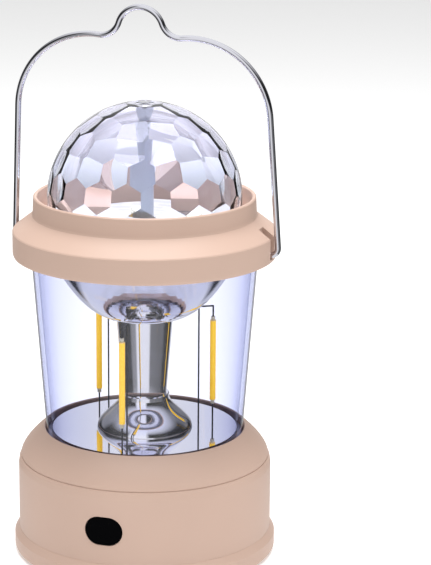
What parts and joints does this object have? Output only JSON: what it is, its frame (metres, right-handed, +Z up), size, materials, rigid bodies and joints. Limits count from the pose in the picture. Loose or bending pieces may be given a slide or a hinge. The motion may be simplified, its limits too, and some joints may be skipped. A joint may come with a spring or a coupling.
{
  "type": "camping lantern",
  "caption": "Upright camping lantern with a tapered clear window, LED filaments between bright reflectors, a turning crystal dome and a wire bail.",
  "frame": {"origin": "centre of the foot ring, on the surface that the lantern stands on", "axes": "+Z up along the middle of the lantern; -Y is the front with the power button; the handle pivots lie on X"},
  "size_m": [0.1024, 0.097, 0.2035],
  "materials": {
    "body_abs": "fine satin moulded ABS, warm beige",
    "foot_rubber": "soft moulded rubber",
    "button_rubber": "soft matt silicone rubber",
    "seal_silicone": "translucent grey silicone",
    "screw_steel": "zinc plated steel",
    "black_plastic": "moulded black",
    "tin_plate": "tinned sheet",
    "circuit_board": "green solder mask",
    "white_board": "white solder mask",
    "cell_wrap": "shrink-wrapped cell",
    "wire_red": "stranded wire insulation",
    "clear_window": "clear tinted moulded plastic",
    "mirror_plate": "vacuum metallised plastic, mirror bright",
    "filament_phosphor": "yellow phosphor over LED filament",
    "lead_wire": "dark bare wire",
    "inner_plastic": "moulded grey",
    "motor_can": "drawn steel can",
    "brass_gear": "machined brass",
    "gear_plastic": "natural acetal",
    "shaft_grey": "moulded blue-grey",
    "led_body": "LED package",
    "crystal_dome": "clear faceted acrylic, faint lavender",
    "bright_wire": "bright plated steel wire"
  },
  "bodies": {
    "root": {"base_shell": "body_abs", "base_cover": "body_abs", "foot_ring": "foot_rubber", "base_screws": "screw_steel", "shoulder_ring": "body_abs", "shoulder_screws": "screw_steel", "switch_body": "tin_plate", "button_board": "circuit_board", "battery": "cell_wrap", "battery_cradle": "black_plastic", "battery_contacts": "tin_plate", "main_board": "circuit_board", "board_parts": "black_plastic", "board_screws": "screw_steel", "charge_board": "circuit_board", "usb_port": "tin_plate", "wiring": "wire_red", "window": "clear_window", "lower_seal": "seal_silicone", "upper_seal": "seal_silicone", "lower_reflector": "mirror_plate", "filament_board": "circuit_board", "filaments": "filament_phosphor", "filament_leads": "lead_wire", "column": "mirror_plate", "upper_reflector": "mirror_plate", "cap_ring": "body_abs", "cap_base": "inner_plastic", "cap_screws": "screw_steel", "reflector_screws": "screw_steel", "motor": "motor_can", "motor_screws": "screw_steel", "idler_pin": "screw_steel", "shaft_bushes": "brass_gear", "gearbox_cover": "inner_plastic", "gearbox_screws": "screw_steel", "rgb_board": "white_board", "rgb_leds": "led_body"},
    "bail": {"bail": "bright_wire"},
    "rotor": {"dome": "crystal_dome", "dome_screw": "screw_steel", "dome_shaft": "shaft_grey", "output_gear": "gear_plastic"},
    "idler": {"idler_gear": "gear_plastic"},
    "motor_rotor": {"motor_shaft": "screw_steel", "pinion": "brass_gear"},
    "button": {"power_button": "button_rubber", "switch_plunger": "black_plastic"},
    "port_flap": {"port_cover": "button_rubber"}
  },
  "joints": [
    {"name": "bail_swing", "type": "hinge", "parent": "root", "child": "bail", "pos_m": [0, 0, 0.115], "axis": [1, 0, 0], "range_deg": [-149.5, 142.5]},
    {"name": "dome_spin", "type": "hinge", "parent": "root", "child": "rotor", "pos_m": [0, 0, 0.1327], "axis": [0, 0, 1], "continuous": true},
    {"name": "idler_spin", "type": "hinge", "parent": "root", "child": "idler", "pos_m": [0.01455, 0.0084, 0.12], "axis": [0, 0, 1], "continuous": true},
    {"name": "motor_spin", "type": "hinge", "parent": "root", "child": "motor_rotor", "pos_m": [-0.0016, 0.01303, 0.12], "axis": [0, 0, 1], "continuous": true},
    {"name": "button_press", "type": "slide", "parent": "root", "child": "button", "axis": [0, 1, 0], "range_m": [0, 0.0008], "stiffness_N_per_m": 500},
    {"name": "port_flap_turn", "type": "hinge", "parent": "root", "child": "port_flap", "pos_m": [0, 0.0465, 0.0169], "axis": [-1, 0, 0], "range_deg": [0, 110]}
  ],
  "couplings": [
    {"joint": "idler_spin", "follows": "dome_spin", "ratio": -3},
    {"joint": "motor_spin", "follows": "dome_spin", "ratio": 9}
  ]
}
